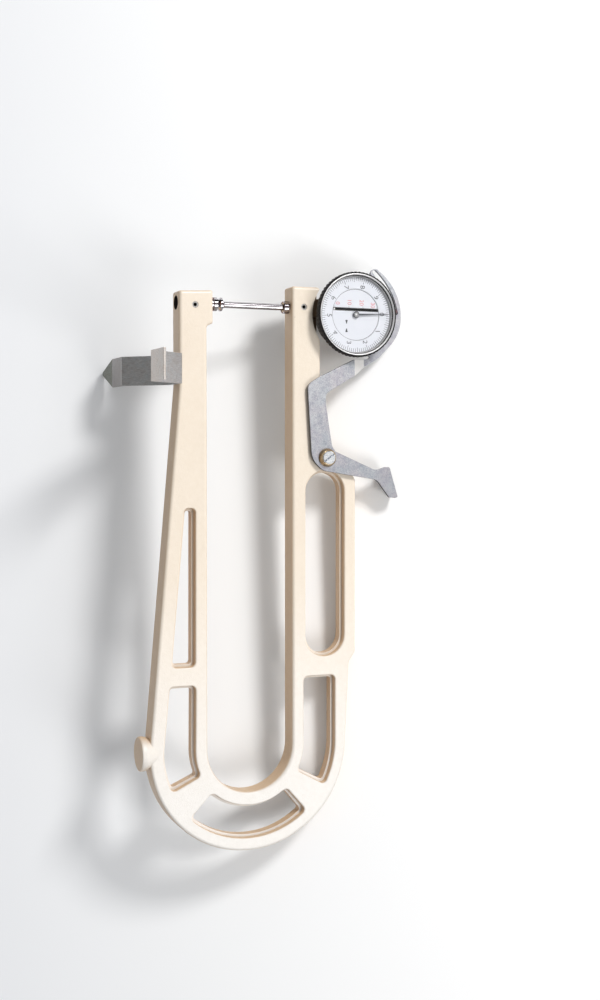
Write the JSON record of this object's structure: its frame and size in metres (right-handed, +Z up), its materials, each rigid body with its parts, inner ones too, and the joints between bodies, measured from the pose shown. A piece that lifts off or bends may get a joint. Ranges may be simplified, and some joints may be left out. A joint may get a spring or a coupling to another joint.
{
  "type": "thickness gauge",
  "caption": "Deep-throat dial thickness gauge: U-shaped cast frame with fixed anvil, rack-driven dial spindle, side lifting lever and bent stand bracket with a rear foot.",
  "frame": {"origin": "middle of the underside of the box round the whole tool, on the table it lies on", "axes": "+Z up from the table; +Y along the arms towards the open end with anvil and dial; +X from the anvil side to the dial side. The tool lies as pictured: on the lower right rear edge of the casting and on the rear tip of the stand bracket, so its front face is rolled 22.1 degrees about Y and pitched 2.4 degrees about X."},
  "size_m": [0.1976, 0.3742, 0.1222],
  "materials": {
    "frame_paint": "beige stove paint over fine cast texture",
    "rolled_steel": "rolled sheet with a grey-violet mottle",
    "bracket_steel": "rolled strip, bright at its bends",
    "dark_screw": "black oxide",
    "chromed_steel": "hard chrome, ground",
    "bright_steel": "turned bright steel",
    "brass": "turned brass",
    "case_black": "satin black",
    "bezel_black": "black knurled rim with a bright ring inside",
    "dial_white": "matt white enamel with printed graduations",
    "marker_white": "white enamel",
    "pointer_dark": "blued",
    "clear_crystal": "clear polished plastic"
  },
  "bodies": {
    "frame": {"anvil": "chromed_steel", "anvil_adjusting_screw": "dark_screw", "anvil_lock_screw": "dark_screw", "arbor_bush": "brass", "back_cover_screws": "bright_steel", "bracket_screws": "dark_screw", "bridge_pillars": "bright_steel", "case_back_cover": "case_black", "dial_case": "case_black", "dial_centre": "dial_white", "dial_posts": "bright_steel", "frame_casting": "frame_paint", "lever_pivot_bush": "brass", "lever_pivot_screw": "bright_steel", "lever_spacer_washer": "bright_steel", "movement_plate": "brass", "movement_screws": "bright_steel", "plate_spacers": "bright_steel", "rear_bridge": "brass", "return_spring": "bright_steel", "spring_stud": "bright_steel", "stand_bracket": "bracket_steel", "stem": "chromed_steel", "stem_bush": "brass", "stem_lock_screw": "dark_screw", "upper_guide_bush": "brass"},
    "spindle": {"spindle_with_rack": "chromed_steel", "contact_tip": "chromed_steel", "spindle_end_cap": "chromed_steel", "lift_pin": "chromed_steel", "marker_carrier": "brass", "travel_marker": "marker_white"},
    "lever": {"lifting_lever": "rolled_steel"},
    "pointer": {"pinion_arbor": "bright_steel", "pointer_hub": "bright_steel", "pointer": "pointer_dark", "spring_collet": "brass"},
    "bezel": {"bezel": "bezel_black", "crystal": "clear_crystal", "dial_scale_ring": "dial_white", "crystal_spacer_ring": "bright_steel", "bezel_retaining_wire": "bright_steel"}
  },
  "joints": [
    {"name": "spindle_slide", "type": "slide", "parent": "frame", "child": "spindle", "axis": [0.9269, 0.0157, -0.375], "range_m": [0, 0.03], "stiffness_N_per_m": 20, "springref_m": -0.05},
    {"name": "lever_swing", "type": "hinge", "parent": "frame", "child": "lever", "pos_m": [0.0494, 0.06311, 0.02878], "axis": [-0.3753, 0.0388, -0.9261], "range_deg": [0, 23.3]},
    {"name": "pointer_turn", "type": "hinge", "parent": "frame", "child": "pointer", "pos_m": [0.06637, 0.1551, 0.02603], "axis": [-0.3753, 0.0388, -0.9261], "range_deg": [0, 1081]},
    {"name": "bezel_turn", "type": "hinge", "parent": "frame", "child": "bezel", "pos_m": [0.06712, 0.15503, 0.02788], "axis": [0.3753, -0.0388, 0.9261], "continuous": true}
  ],
  "couplings": [
    {"joint": "lever_swing", "follows": "spindle_slide", "rad_per_m": 13.497},
    {"joint": "pointer_turn", "follows": "spindle_slide", "rad_per_m": 628.32}
  ]
}
